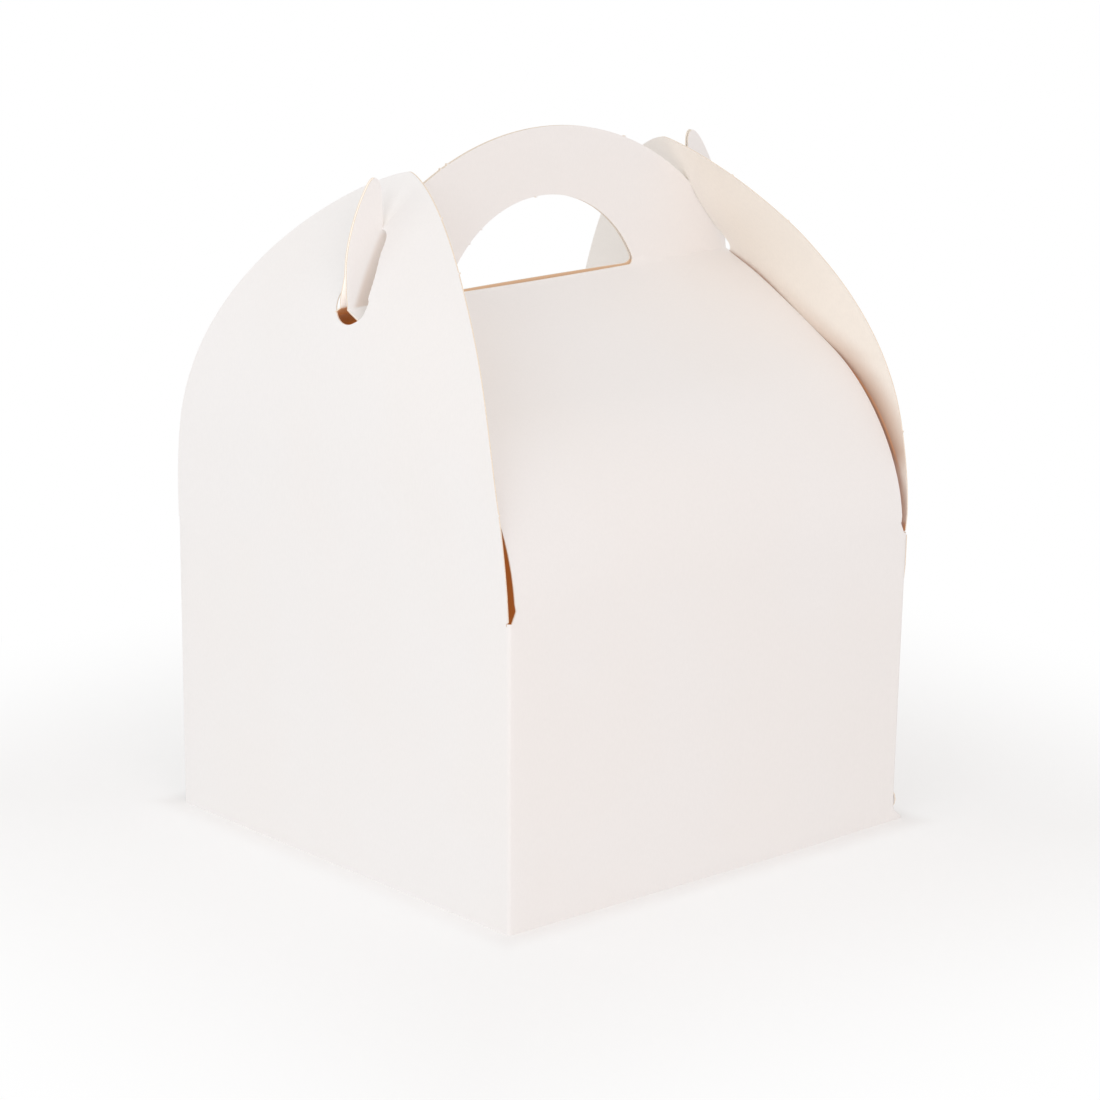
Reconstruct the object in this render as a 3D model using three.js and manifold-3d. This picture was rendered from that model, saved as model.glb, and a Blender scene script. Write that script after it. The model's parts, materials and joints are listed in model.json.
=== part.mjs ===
// Handle box for cakes: a carton folded from one sheet of white board.
// Front and back panels curve over the box and meet in a two-layer handle.
// The curved side flaps close last: the hooks of the handle lock in their slots.
// Millimetres, +Z up, origin at the centre of the base, front panel towards -Y.

import * as THREE from 'three';
import { mergeVertices } from 'three/addons/utils/BufferGeometryUtils.js';
import Module from 'manifold-3d';

const wasm = await Module();
wasm.setup();

// Board
const board = 0.5;
const gap = 0.3;
const foldRadius = 1.4;

// Box
const boxWidth = 200;
const boxDepth = 200;
const wallHeight = 117;

// Front and back panels, which curve inwards to the crease of the handle
const domeRise = 97.4;
const panelSlope = THREE.MathUtils.degToRad(28);
const panelInset = 2.4;
const notchInset = 3.6;
const notchRise = 4.5;
const notchShare = 0.33;

// Handle, cut from the tops of the same two panels
const handleRise = 58.1;
const lockRise = 29.2;
const holeHalfWidth = 46.4;
const holeHeight = 31.8;
const holeCornerRadius = 2.5;
const hookRise = 18;
const hookTipRadius = 2.8;
const earReach = 17.2;
const earShoulder = 0.62;

// Side flaps
const flapLean = 0.5;
const flapUpright = 41;
const flapBendRadius = 165;
const flapInset = 0.4;
const flapStraightEdge = 6;
const flapOverHook = 0.5;
const flapShoulderPower = 2.25;
const flapNosePower = 1.35;

// Lock slot of a side flap
const slotBottomRadius = 9;
const slotTopRadius = 1.6;
const slotBelowCrease = 5.9;
const cornerThroughSlot = 5;
const slitClearance = 0.4;
const hookClearance = 0.8;

// Glue flap inside the right front corner
const glueFlapWidth = 18;
const glueFlapInset = 4;
const glueFlapTaper = 8;

// Bottom flaps, in three layers that lock into each other
const bottomInset = 1;
const bottomLap = 8;
const bottomTongueHalfWidth = 52;
const bottomTongueTuck = 24;
const bottomTongueStep = 12;
const bottomShoulder = 62;
const bottomSideReach = 58;
const bottomSideTaper = 34;

// Facets
const bendSegments = 22;
const arcSegments = 14;
const smallArcSegments = 6;
const margin = 5;

const halfWidth = boxWidth / 2;
const halfDepth = boxDepth / 2;
const layerFace = gap / 2 + board;
const creaseHeight = wallHeight + domeRise;
const lockHeight = creaseHeight + lockRise;
const handleTop = creaseHeight + handleRise;
const flapFoot = wallHeight + gap;
const flapBendStart = wallHeight + flapUpright;
const flapTop = lockHeight + hookRise + flapOverHook;
const panelCornerHeight = creaseHeight - cornerThroughSlot * Math.tan(panelSlope);
const hinge = new THREE.Vector2(halfWidth, wallHeight + gap / 2);

function point(u, v) {
  return new THREE.Vector2(u, v);
}

function arc(centre, radius, start, end, segments) {
  return Array.from({ length: segments + 1 }, (_, i) => {
    const angle = THREE.MathUtils.lerp(start, end, i / segments);
    return point(centre.x + radius * Math.cos(angle), centre.y + radius * Math.sin(angle));
  });
}

// The arc from a to c that passes through b.
function arcThrough(a, b, c, segments) {
  const ab = b.clone().sub(a);
  const ac = c.clone().sub(a);
  const cross = 2 * ab.cross(ac);
  const centre = point(
    a.x + (ac.y * ab.lengthSq() - ab.y * ac.lengthSq()) / cross,
    a.y + (ab.x * ac.lengthSq() - ac.x * ab.lengthSq()) / cross,
  );
  const start = a.clone().sub(centre).angle();
  const turn = 2 * Math.PI;
  let sweep = (c.clone().sub(centre).angle() - start + turn) % turn;
  if (cross < 0) sweep -= turn;
  return arc(centre, a.distanceTo(centre), start, start + sweep, segments);
}

function mirrored(points) {
  return points.map((p) => point(-p.x, p.y)).reverse();
}

// A closed outline that is the same on both sides, from its right half.
function symmetric(rightHalf) {
  return new THREE.Shape([...rightHalf, ...mirrored(rightHalf)]);
}

// A band of board between a line and its copy one thickness to the right of it.
function band(line) {
  const offset = line.map((p, i) => {
    const before = (i > 0 ? p.clone().sub(line[i - 1]) : line[1].clone().sub(p)).normalize();
    const after = (i < line.length - 1 ? line[i + 1].clone().sub(p) : before.clone()).normalize();
    const sum = point(before.y + after.y, -before.x - after.x);
    return p.clone().addScaledVector(sum, board / (1 + before.dot(after)));
  });
  return new THREE.Shape([...line, ...offset.reverse()]);
}

function solid(geometry) {
  geometry.deleteAttribute('normal');
  geometry.deleteAttribute('uv');
  const merged = mergeVertices(geometry, 1e-4);
  return new wasm.Manifold(new wasm.Mesh({
    numProp: 3,
    vertProperties: new Float32Array(merged.attributes.position.array),
    triVerts: new Uint32Array(merged.index.array),
  }));
}

function extrude(shape, depth, basis, start) {
  const geometry = new THREE.ExtrudeGeometry(shape, { depth, bevelEnabled: false });
  geometry.applyMatrix4(basis);
  geometry.translate(start.x, start.y, start.z);
  return solid(geometry);
}

const axisX = new THREE.Vector3(1, 0, 0);
const axisY = new THREE.Vector3(0, 1, 0);
const axisZ = new THREE.Vector3(0, 0, 1);

// The shape is drawn in (y, z).
function alongX(shape, from, to) {
  const basis = new THREE.Matrix4().makeBasis(axisY, axisZ, axisX);
  return extrude(shape, to - from, basis, new THREE.Vector3(from, 0, 0));
}

// The shape is drawn in (x, z).
function alongY(shape, from, to) {
  const basis = new THREE.Matrix4().makeBasis(axisX, axisZ, axisY.clone().negate());
  return extrude(shape, to - from, basis, new THREE.Vector3(0, to, 0));
}

// The shape is drawn in (x, y).
function alongZ(shape, from, to) {
  return extrude(shape, to - from, new THREE.Matrix4(), new THREE.Vector3(0, 0, from));
}

function mesh(name, body, colour) {
  const { numProp, vertProperties, triVerts } = body.getMesh();
  const geometry = new THREE.BufferGeometry();
  const positions = new Float32Array((vertProperties.length / numProp) * 3);
  for (let i = 0; i < positions.length / 3; i += 1) {
    positions.set(vertProperties.subarray(i * numProp, i * numProp + 3), i * 3);
  }
  geometry.setAttribute('position', new THREE.BufferAttribute(positions, 3));
  geometry.setIndex(new THREE.BufferAttribute(new Uint32Array(triVerts), 1));
  geometry.computeVertexNormals();
  const material = new THREE.MeshStandardMaterial({ color: colour, roughness: 0.72, metalness: 0 });
  const result = new THREE.Mesh(geometry, material);
  result.name = name;
  return result;
}

// Side flap in section: how far its outer face stands from the middle at a height.
function flapReach(height) {
  const start = halfWidth + flapLean;
  if (height <= flapBendStart) {
    return THREE.MathUtils.mapLinear(height, wallHeight, flapBendStart, halfWidth, start);
  }
  const rise = Math.min(height - flapBendStart, flapBendRadius);
  return start - flapBendRadius + Math.sqrt(flapBendRadius ** 2 - rise ** 2);
}

const notch = point(flapReach(lockHeight) + gap, lockHeight - gap);
const hookTip = point(notch.x + hookTipRadius, notch.y + hookRise - hookTipRadius);
const handleFlank = point(notch.x - 2 * gap, notch.y);
const handleRadius = new THREE.Vector2(handleFlank.x, handleTop - notch.y).lengthSq()
  / (2 * (handleTop - notch.y));

// Outline of a side flap in (y, z): straight at the foot, full shoulders and a round nose.
function flapOutline() {
  const edge = halfDepth - flapInset;
  const foot = wallHeight + flapStraightEdge;
  const steps = 2 * bendSegments;
  const curve = Array.from({ length: steps }, (_, i) => {
    const rise = Math.sin((i / steps) * (Math.PI / 2));
    const width = (1 - rise ** flapShoulderPower) ** (1 / flapNosePower);
    return point(edge * width, THREE.MathUtils.lerp(foot, flapTop, rise));
  });
  return symmetric([point(edge, flapFoot), ...curve, point(0, flapTop)].slice(0, -1));
}

// Lock slot in (y, z): a round foot and a small round top, joined by straight sides.
function slotOutline() {
  const foot = point(0, creaseHeight - slotBelowCrease + slotBottomRadius);
  const top = point(0, lockHeight + gap - slotTopRadius);
  const tilt = Math.asin((slotBottomRadius - slotTopRadius) / (top.y - foot.y));
  return symmetric([
    ...arc(foot, slotBottomRadius, -Math.PI / 2, tilt, arcSegments).slice(1),
    ...arc(top, slotTopRadius, tilt, Math.PI / 2, smallArcSegments).slice(0, -1),
  ]);
}

// Narrow slit above the slot, for the hook to pass when the flap turns on its crease.
function slitOutline() {
  const radius = layerFace + slitClearance;
  const hookSweep = hinge.distanceTo(hookTip) + hookTipRadius + hookClearance;
  let height = lockHeight;
  while (hinge.distanceTo(point(flapReach(height), height)) < hookSweep) height += gap;
  const end = point(0, height - radius);
  return symmetric([
    point(radius, lockHeight - slotTopRadius),
    ...arc(end, radius, 0, Math.PI / 2, smallArcSegments).slice(0, -1),
  ]);
}

function sideFlap(side) {
  const bendEnd = Math.asin((flapTop + margin - flapBendStart) / flapBendRadius);
  const centre = point(flapBendRadius - halfWidth - flapLean, flapBendStart);
  const line = [
    point(-flapReach(flapFoot), flapFoot),
    ...arc(centre, flapBendRadius, Math.PI, Math.PI - bendEnd, bendSegments),
  ];
  const card = alongY(band(line), -halfDepth, halfDepth);
  const from = -halfWidth - margin;
  const flap = card.intersect(alongX(flapOutline(), from, 0))
    .subtract(alongX(slotOutline(), from, 0))
    .subtract(alongX(slitOutline(), from, 0));
  return side < 0 ? flap : flap.mirror([1, 0, 0]);
}

// Free edge of a front or back panel in (x, z): it follows the inside of the side flap.
function panelEdge(top) {
  const foot = wallHeight + notchRise;
  return Array.from({ length: arcSegments + 1 }, (_, i) => {
    const share = i / arcSegments;
    const height = THREE.MathUtils.lerp(foot, top, share);
    const inset = THREE.MathUtils.lerp(notchInset, panelInset, Math.min(1, share / notchShare));
    return point(Math.min(halfWidth - inset, flapReach(height) - board - 2 * gap), height);
  });
}

// Ear and hook of the handle in (x, z), from the crease up to the notch.
function earEdge() {
  const widest = point(notch.x + earReach, (creaseHeight + notch.y) / 2);
  const shoulder = point(hookTip.x + (widest.x - hookTip.x) * earShoulder, notch.y + hookRise / 3);
  return [
    point(widest.x, panelCornerHeight),
    ...arcThrough(widest, point(widest.x - hookTipRadius / 2, notch.y - hookRise / 5), shoulder,
      smallArcSegments),
    ...arc(hookTip, hookTipRadius, Math.PI / 6, Math.PI, smallArcSegments),
    notch,
  ];
}

function handleOutline() {
  const start = Math.acos(handleFlank.x / handleRadius);
  const crown = arc(point(0, handleTop - handleRadius), handleRadius,
    start, Math.PI / 2, arcSegments).slice(0, -1);
  return symmetric([
    point(halfWidth - foldRadius, wallHeight - margin),
    point(halfWidth - foldRadius, wallHeight),
    ...panelEdge(panelCornerHeight - gap),
    ...earEdge(),
    ...crown,
  ]);
}

// Hand hole in (x, z): its flat side lies on the crease.
function handHoleOutline() {
  const foot = creaseHeight - board;
  const corner = arc(point(holeHalfWidth - holeCornerRadius, foot + holeCornerRadius),
    holeCornerRadius, -Math.PI / 2, 0, smallArcSegments);
  const top = arcThrough(corner.at(-1), point(0, creaseHeight + holeHeight),
    point(-holeHalfWidth, foot + holeCornerRadius), 2 * arcSegments);
  return symmetric([...corner, ...top.slice(1, arcSegments)]);
}

// Front panel in section (y, z), along its outer face from the wall to the top.
function panelLine() {
  const turn = Math.PI / 2 - panelSlope;
  const run = halfDepth - layerFace;
  const rise = creaseHeight - wallHeight - run * Math.tan(panelSlope);
  const radius = rise / (Math.sin(turn) - (1 - Math.cos(turn)) * Math.tan(panelSlope));
  return [
    point(-halfDepth, wallHeight - margin),
    ...arc(point(radius - halfDepth, wallHeight), radius, Math.PI, Math.PI - turn, bendSegments),
    point(-layerFace, creaseHeight),
    point(-layerFace, handleTop + margin),
  ];
}

function frontPanel() {
  const card = alongX(band(panelLine()), -halfWidth, halfWidth);
  return card.intersect(alongY(handleOutline(), -halfDepth - margin, 0))
    .subtract(alongY(handHoleOutline(), -halfDepth, 0));
}

function rounded(x, y, radius) {
  return [[1, 1], [-1, 1], [-1, -1], [1, -1]].flatMap(([sideX, sideY], i) => {
    const centre = point(sideX * (x - radius), sideY * (y - radius));
    return arc(centre, radius, i * Math.PI / 2, (i + 1) * Math.PI / 2, smallArcSegments);
  });
}

function walls() {
  const shape = new THREE.Shape(rounded(halfWidth, halfDepth, foldRadius));
  shape.holes.push(new THREE.Path(rounded(halfWidth - board, halfDepth - board, foldRadius - board)));
  return alongZ(shape, 0, wallHeight);
}

function glueFlap() {
  const near = -halfDepth + board;
  const far = near + glueFlapWidth;
  const outline = new THREE.Shape([
    point(near, glueFlapInset),
    point(far, glueFlapInset + glueFlapTaper),
    point(far, wallHeight - glueFlapInset - glueFlapTaper),
    point(near, wallHeight - glueFlapInset),
  ]);
  return alongX(outline, halfWidth - 2 * board, halfWidth - board / 2);
}

// Bottom flaps in (x, y): the back one lies inside, the side ones next, the front one outside.
function bottomBack() {
  const wide = halfWidth - bottomInset;
  return alongZ(symmetric([
    point(bottomTongueHalfWidth + bottomInset, bottomTongueTuck),
    point(bottomTongueHalfWidth + bottomInset, -bottomLap),
    point(wide - bottomLap, -bottomLap),
    point(wide, 0),
    point(wide, halfDepth - board / 2),
  ].reverse()), 2 * board, 3 * board);
}

function bottomSide(side) {
  const root = halfWidth - board / 2;
  const reach = halfWidth - bottomSideReach;
  const wide = halfDepth - bottomInset - board;
  const shape = new THREE.Shape([
    point(side * root, -wide),
    point(side * root, wide),
    point(side * reach, wide - bottomSideTaper),
    point(side * reach, bottomSideTaper - wide),
  ]);
  return alongZ(shape, board, 2 * board);
}

function bottomFront() {
  const wide = halfWidth - bottomInset;
  const step = bottomTongueTuck - bottomTongueStep;
  const outside = alongZ(symmetric([
    point(wide, -halfDepth + board / 2),
    point(wide, -bottomShoulder),
    point(bottomTongueHalfWidth, -bottomLap),
    point(bottomTongueHalfWidth, step + board),
  ]), 0, board);
  const riser = alongZ(symmetric([
    point(bottomTongueHalfWidth, step),
    point(bottomTongueHalfWidth, step + board),
  ]), 0, 4 * board);
  const tongue = alongZ(symmetric([
    point(bottomTongueHalfWidth, step),
    point(bottomTongueHalfWidth - bottomLap, bottomTongueTuck + bottomTongueStep),
  ]), 3 * board, 4 * board);
  return outside.add(riser).add(tongue);
}

function cartonBody() {
  const front = frontPanel();
  return walls()
    .add(front)
    .add(front.mirror([0, 1, 0]))
    .add(glueFlap())
    .add(bottomBack())
    .add(bottomSide(-1))
    .add(bottomSide(1))
    .add(bottomFront());
}

const whiteBoard = 0xf2efec;
const insideBoard = 0xf3e4d7;

const box = new THREE.Group();
box.add(mesh('carton_body', cartonBody(), whiteBoard));
box.add(mesh('side_flap_left', sideFlap(-1), whiteBoard));
box.add(mesh('side_flap_right', sideFlap(1), insideBoard));

export default box;
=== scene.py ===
"""A white cake carton with a handle, folded from one sheet of board."""

import json
import math

import bmesh
import bpy
from mathutils import Matrix, Vector

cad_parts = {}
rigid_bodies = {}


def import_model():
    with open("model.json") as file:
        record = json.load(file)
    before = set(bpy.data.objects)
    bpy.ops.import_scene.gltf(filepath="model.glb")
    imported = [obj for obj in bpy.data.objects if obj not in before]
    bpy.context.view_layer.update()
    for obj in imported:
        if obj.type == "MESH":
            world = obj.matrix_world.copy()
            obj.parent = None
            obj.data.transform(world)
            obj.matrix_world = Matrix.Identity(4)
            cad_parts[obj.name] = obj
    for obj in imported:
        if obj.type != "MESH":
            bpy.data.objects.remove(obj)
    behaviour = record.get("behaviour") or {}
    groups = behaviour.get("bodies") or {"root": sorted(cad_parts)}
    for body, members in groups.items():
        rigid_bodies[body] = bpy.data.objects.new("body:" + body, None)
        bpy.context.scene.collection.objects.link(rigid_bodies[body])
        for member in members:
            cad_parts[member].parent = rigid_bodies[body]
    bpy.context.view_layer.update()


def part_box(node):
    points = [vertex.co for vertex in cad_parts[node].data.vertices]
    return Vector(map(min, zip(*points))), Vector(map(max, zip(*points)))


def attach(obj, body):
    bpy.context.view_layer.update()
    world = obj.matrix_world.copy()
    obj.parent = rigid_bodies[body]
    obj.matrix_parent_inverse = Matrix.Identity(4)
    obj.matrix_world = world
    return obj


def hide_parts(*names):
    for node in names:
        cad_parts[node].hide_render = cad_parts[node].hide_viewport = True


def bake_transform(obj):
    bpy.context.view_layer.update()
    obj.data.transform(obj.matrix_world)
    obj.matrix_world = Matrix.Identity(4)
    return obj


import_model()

bl_info = {
    "name": "Cake Carton with Handle",
    "version": (1, 0, 0),
    "blender": (4, 5, 0),
    "location": "3D View > Sidebar > Carton",
    "description": "Folds a white board carton with a two-layer handle and locking side flaps",
    "category": "Add Mesh",
}

MM = 0.001
BODY_CARTON = "carton"
EPSILON = 1e-5
OUTER_FACE = 0
CUT_EDGE = 2

body_low, body_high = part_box("carton_body")

# The ears and their hooks from the crease up, in (x, z) in mm

LEFT_EAR = [
    (93.4, 215), (94, 223.5), (93.4, 234), (91, 243.5), (87.6, 252), (83.6, 259), (81, 261.6),
    (78.9, 261), (77.5, 257.5), (77, 250)]
RIGHT_EAR = [
    (96.4, 215), (95.4, 223.5), (94, 233), (91.3, 243), (88.2, 249.5), (83.7, 257.4), (80.3, 261.8),
    (77.6, 263.3), (75.7, 261.5), (75.3, 257), (76.2, 249.5)]
NOTCH_X = 76.8 * MM

# The lock slots of the side flaps, in (y, z) in mm

LEFT_SLOT = [
    (-1.5, 242.3), (-3.4, 241.8), (-4.9, 240.2), (-5.5, 237.5), (-5.8, 234), (-7.4, 229), (-8.3, 225),
    (-8.8, 221.5), (-9.1, 219.4), (-10, 218.2), (-9.8, 215.5), (-8.9, 212.9), (-7.0, 211.2),
    (-3.2, 209.3), (0.6, 209), (4, 210.3), (6.3, 212.8), (7.4, 215.8), (7, 219.5), (4.6, 228.5),
    (2.4, 239), (0.8, 242)]
RIGHT_SLOT = [
    (0, 241.4), (-0.9, 240), (-0.9, 226), (-2.4, 220.4), (-3.5, 216.8), (-2.9, 214.2), (0, 212),
    (5, 210.8), (9.6, 213), (11.4, 217.5), (9.6, 226), (4.6, 238), (2, 241.4)]

# Small tabs of board on the cut edges, from where the blank hung in its sheet, in mm

HANDLE_TABS = [(-49.6, 262.1), (-45.7, 263.5), (42.4, 264.1)]
HOLE_TABS = [(-2.2, 246.2), (-29.4, 236.4), (-35.2, 231)]
FLAP_TABS = [(-28.7, 248.9), (-50.5, 233.3), (-96.5, 156.2)]
TAB_WIDTH = 0.5 * MM
TAB_REACH = 0.5 * MM

# How far folding by hand, the hooks and knocks have moved the board

WALL_SWELL = 0.21 * MM
LAYER_BULGE = 1.3 * MM
LAYER_SLACK = 3.6 * MM
HOOK_SPREAD = 0.8 * MM
EDGE_CURL = 1.8 * MM
KNOCK_OUT = 6 * MM
KNOCK_REACH = 5.4 * MM
CORNER_IN_AT_FOOT = 1.7 * MM
CORNER_OUT_AT_TOP = 0.8 * MM
CORNER_LIP = 0.9 * MM
SEAM_GAP = 0.1 * MM
SEAM_GAP_AT_TOP = 0.5 * MM
SEAM_GAP_AT_FOOT = 0.8 * MM
LEFT_FLAP_PUSH = 2.4 * MM
RIGHT_FLAP_PUSH = 6.6 * MM
LEFT_FLAP_SETBACK = 2.1 * MM
DIMPLE = 0.24 * MM

# Lamps: name, setting that holds the power, place and side in metres, colour

LAMPS = [
    ("left_light", "key", (-1.9, -0.6, 1.1), 1.4, (0.9, 0.96, 1)),
    ("front_light", "fill", (-0.7, -2.0, 0.9), 1.2, (1, 0.845, 0.8)),
    ("back_light", "back", (-1.6, 1.4, 0.4), 1.2, (0.95, 0.98, 1)),
    ("top_light", "top", (0, 0, 2.2), 1.8, (1, 0.95, 0.9)),
]
LAMP_AIM = Vector((0, 0, 0.12))
ROOM_COLOUR = (1, 0.982, 0.968, 1)
PAPER_WHITE = (1, 1, 1, 1)
FLOOR_RADIUS = 6


class CartonSizes(bpy.types.PropertyGroup):
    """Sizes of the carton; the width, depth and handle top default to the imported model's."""

    board: bpy.props.FloatProperty(
        name="Board", description="Thickness of the board", default=0.5 * MM, unit="LENGTH")
    width: bpy.props.FloatProperty(
        name="Width", description="Outer width, from side wall to side wall",
        default=body_high.x - body_low.x, unit="LENGTH")
    depth: bpy.props.FloatProperty(
        name="Depth", description="Outer depth, from front wall to back wall",
        default=body_high.y - body_low.y, unit="LENGTH")
    wall: bpy.props.FloatProperty(
        name="Wall", description="Height of the four walls", default=117 * MM, unit="LENGTH")
    corner: bpy.props.FloatProperty(
        name="Corner", description="Outer radius of the folded corners", default=1.4 * MM, unit="LENGTH")
    crease: bpy.props.FloatProperty(
        name="Crease", description="Height of the crease below the handle",
        default=214.4 * MM, unit="LENGTH")
    crease_radius: bpy.props.FloatProperty(
        name="Crease radius", description="How softly a panel turns into the handle",
        default=4.5 * MM, unit="LENGTH")
    slope: bpy.props.FloatProperty(
        name="Slope", description="Slope of the panels at the crease",
        default=math.radians(28), subtype="ANGLE")
    layer: bpy.props.FloatProperty(
        name="Layer", description="From the middle to the outer face of a handle layer",
        default=0.65 * MM, unit="LENGTH")
    handle_top: bpy.props.FloatProperty(
        name="Handle top", description="Height of the top of the handle",
        default=body_high.z, unit="LENGTH")
    handle_radius: bpy.props.FloatProperty(
        name="Handle radius", description="Radius of the handle's outer edge",
        default=114.2 * MM, unit="LENGTH")
    hole_half: bpy.props.FloatProperty(
        name="Hole half width", description="Half the width of the hand hole",
        default=46.4 * MM, unit="LENGTH")
    hole_rise: bpy.props.FloatProperty(
        name="Hole height", description="Height of the hand hole above the crease",
        default=31.8 * MM, unit="LENGTH")
    flap_lean: bpy.props.FloatProperty(
        name="Flap lean", description="How far a side flap leans out below its bend",
        default=0.5 * MM, unit="LENGTH")
    flap_bend: bpy.props.FloatProperty(
        name="Flap bend", description="Height at which a side flap starts to curve",
        default=158 * MM, unit="LENGTH")
    flap_radius: bpy.props.FloatProperty(
        name="Flap radius", description="Radius of a side flap's curve", default=165 * MM, unit="LENGTH")
    flap_top: bpy.props.FloatProperty(
        name="Flap top", description="Height of the tip of a side flap", default=262.1 * MM, unit="LENGTH")


class CartonColours(bpy.types.PropertyGroup):
    """Colours of the board, as they are seen under plain white light, and the painted shade, glow and light
    that stand in for the light in and round the closed box.
    """

    outside: bpy.props.FloatVectorProperty(
        name="Outside", description="White outer face", size=3, subtype="COLOR",
        default=(0.9, 0.884, 0.876), min=0, max=1)
    inside: bpy.props.FloatVectorProperty(
        name="Inside", description="Inner face near the open edges", size=3, subtype="COLOR",
        default=(0.955, 0.895, 0.82), min=0, max=1)
    # Painted shade: the brown that the dim, bounced light in the closed box gives its inner walls and
    # panels, painted on them.
    depth: bpy.props.FloatVectorProperty(
        name="Inside, low down", description="Inner face deep in the box", size=3, subtype="COLOR",
        default=(0.66, 0.46, 0.32), min=0, max=1)
    warm_shade: bpy.props.FloatVectorProperty(
        name="Warm shade", description="Side flap close to the panels", size=3, subtype="COLOR",
        default=(0.55, 0.35, 0.24), min=0, max=1)
    glow: bpy.props.FloatVectorProperty(
        name="Glow", description="Light that passes through the card into the closed box", size=3,
        subtype="COLOR", default=(0.13, 0.047, 0.012), min=0, max=1)
    cut: bpy.props.FloatVectorProperty(
        name="Cut edge", description="Raw edge of the board", size=3, subtype="COLOR",
        default=(0.88, 0.78, 0.66), min=0, max=1)
    # Painted light: colour and glow painted into the shaded crease at the foot of the hand hole, between
    # its layers.
    crease_glow: bpy.props.FloatVectorProperty(
        name="Crease edge", description="Light that the board gives off between its layers at the crease",
        size=3, subtype="COLOR", default=(0.46, 0.33, 0.22), min=0, max=1)
    layer_glow: bpy.props.FloatVectorProperty(
        name="Layer glow", description="Light that falls in between the two layers at the left ear", size=3,
        subtype="COLOR", default=(0.2, 0.2, 0.2), min=0, max=1)
    # Painted shade: the warm shade that the left side flap throws on the ear, as a factor on the ear's
    # white.
    ear_shade_colour: bpy.props.FloatVectorProperty(
        name="Ear tint", description="What the side flap's warm shade leaves of the ear's white", size=3,
        subtype="COLOR", default=(0.86, 0.77, 0.71), min=0, max=1)


class StageSettings(bpy.types.PropertyGroup):
    """Camera and light."""

    lens: bpy.props.FloatProperty(
        name="Lens", description="Focal length on a sensor 36 mm wide", default=132.26)
    azimuth: bpy.props.FloatProperty(
        name="Azimuth", description="Direction of the camera round the box",
        default=math.radians(-40.829), subtype="ANGLE")
    elevation: bpy.props.FloatProperty(
        name="Elevation", description="Height of the camera above the horizon",
        default=math.radians(15.035), subtype="ANGLE")
    roll: bpy.props.FloatProperty(
        name="Roll", description="Turn of the camera about its view", default=math.radians(0.168),
        subtype="ANGLE")
    distance: bpy.props.FloatProperty(
        name="Distance", description="From the camera to the plane of the base centre",
        default=1597.43 * MM, unit="LENGTH")
    aim_right: bpy.props.FloatProperty(
        name="Aim right", description="Where the camera looks, right of the base centre",
        default=4.055 * MM, unit="LENGTH")
    aim_up: bpy.props.FloatProperty(
        name="Aim up", description="Where the camera looks, above the base centre",
        default=103.114 * MM, unit="LENGTH")
    world: bpy.props.FloatProperty(
        name="Room light", description="Strength of the light from all round", default=0.71)
    key: bpy.props.FloatProperty(
        name="Left light", description="Power of the large lamp on the left", default=7.0, unit="POWER")
    fill: bpy.props.FloatProperty(
        name="Front light", description="Power of the large warm lamp in front", default=8.7,
        unit="POWER")
    back: bpy.props.FloatProperty(
        name="Back light", description="Power of the low lamp behind the box, on the left", default=4.5,
        unit="POWER")
    top: bpy.props.FloatProperty(
        name="Top light", description="Power of the lamp overhead", default=2.4, unit="POWER")


def sizes():
    return bpy.context.scene.carton_sizes


def colours():
    return bpy.context.scene.carton_colours


# Shader maths

class Socket:
    """A node's output that takes part in expressions."""

    def __init__(self, shader, output):
        self.shader = shader
        self.output = output

    def maths(self, operation, *values):
        return self.shader.node("ShaderNodeMath", {"operation": operation}, dict(enumerate(values)))

    def __add__(self, other):
        return self.maths("ADD", self, other)

    def __radd__(self, other):
        return self.maths("ADD", other, self)

    def __sub__(self, other):
        return self.maths("SUBTRACT", self, other)

    def __rsub__(self, other):
        return self.maths("SUBTRACT", other, self)

    def __mul__(self, other):
        return self.maths("MULTIPLY", self, other)

    def __rmul__(self, other):
        return self.maths("MULTIPLY", other, self)

    def absolute(self):
        return self.maths("ABSOLUTE", self)

    def root(self):
        return self.maths("SQRT", self)

    def larger(self, other):
        return self.maths("MAXIMUM", self, other)

    def between(self, low, high):
        """0 at low, 1 at high, and a smooth run between them."""
        return self.shader.node(
            "ShaderNodeMapRange", {"interpolation_type": "SMOOTHSTEP"},
            {"Value": self, "From Min": low, "From Max": high})


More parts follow.
